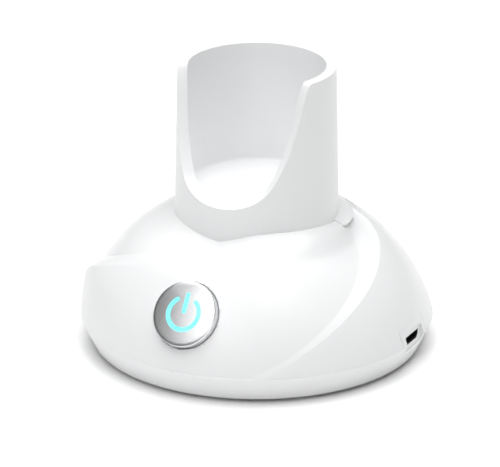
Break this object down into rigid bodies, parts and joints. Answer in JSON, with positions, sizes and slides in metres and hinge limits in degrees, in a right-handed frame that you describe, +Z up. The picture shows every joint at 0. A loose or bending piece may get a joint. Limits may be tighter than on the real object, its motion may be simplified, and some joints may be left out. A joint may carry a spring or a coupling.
{
  "type": "electric toothbrush charger",
  "caption": "Round domed charging dock for a toothbrush handle, with an upright cup open at the front, a lit power button and a small inlet at the side.",
  "frame": {"origin": "on the surface the dock stands on, under the centre of its round base", "axes": "+Z up along the cup; -Y is the front, with the button; +X is the side with the inlet"},
  "size_m": [0.0997, 0.1, 0.0815],
  "materials": {
    "shell_white": "glossy moulded plastic, polished tool",
    "base_white": "glossy moulded plastic",
    "button_metal": "satin, finely brushed",
    "icon_glow": "frosted light guide lit cyan",
    "seal_rubber": "soft, matt",
    "foot_rubber": "matt, fine grain",
    "guide_plastic": "moulded, matt",
    "holder_plastic": "moulded, matt",
    "screw_steel": "zinc plated",
    "silicone": "soft, matt",
    "plated_tin": "drawn tin-plated sheet",
    "copper_wire": "enamelled litz",
    "contact_gold": "plated",
    "ferrite_grey": "sintered, matt",
    "board_green": "solder resist",
    "chip_black": "moulded epoxy",
    "led_clear": "cast epoxy",
    "lead_sleeve": "extruded insulation"
  },
  "bodies": {
    "dock": {"housing_screws": "screw_steel", "cup_screws": "screw_steel", "foot_1": "foot_rubber", "foot_2": "foot_rubber", "foot_3": "foot_rubber", "foot_4": "foot_rubber", "lower_housing": "base_white", "housing_gasket": "seal_rubber", "dome_shell": "shell_white", "front_apron": "shell_white", "coil_holder_screws": "screw_steel", "cup": "shell_white", "coil_bobbin": "holder_plastic", "coil_winding": "copper_wire", "ferrite_core": "ferrite_grey", "coil_holder": "holder_plastic", "main_board_screws": "screw_steel", "main_board": "board_green", "charge_controller": "chip_black", "filter_inductor": "chip_black", "power_transistors": "chip_black", "resonance_capacitors": "chip_black", "small_chip_parts": "chip_black", "board_header": "holder_plastic", "inlet_frame": "base_white", "usb_shell": "plated_tin", "usb_tongue": "chip_black", "usb_contacts": "contact_gold", "button_board_screws": "screw_steel", "button_guide": "guide_plastic", "button_board": "board_green", "switch_body": "chip_black", "status_leds": "led_clear", "button_seal": "seal_rubber", "return_bellows": "silicone", "coil_lead": "lead_sleeve", "button_lead": "lead_sleeve"},
    "button": {"button_cap": "button_metal", "icon_light_guide": "icon_glow"},
    "plunger": {"switch_plunger": "chip_black"}
  },
  "joints": [
    {"name": "button_press", "type": "slide", "parent": "dock", "child": "button", "axis": [0, 0.829, -0.5592], "range_m": [0, 0.0005], "stiffness_N_per_m": 600, "springref_m": -0.0012, "deforming": ["return_bellows"]},
    {"name": "plunger_press", "type": "slide", "parent": "dock", "child": "plunger", "axis": [0, 0.829, -0.5592], "range_m": [0, 0.0005]}
  ],
  "couplings": [
    {"joint": "plunger_press", "follows": "button_press", "ratio": 1}
  ]
}
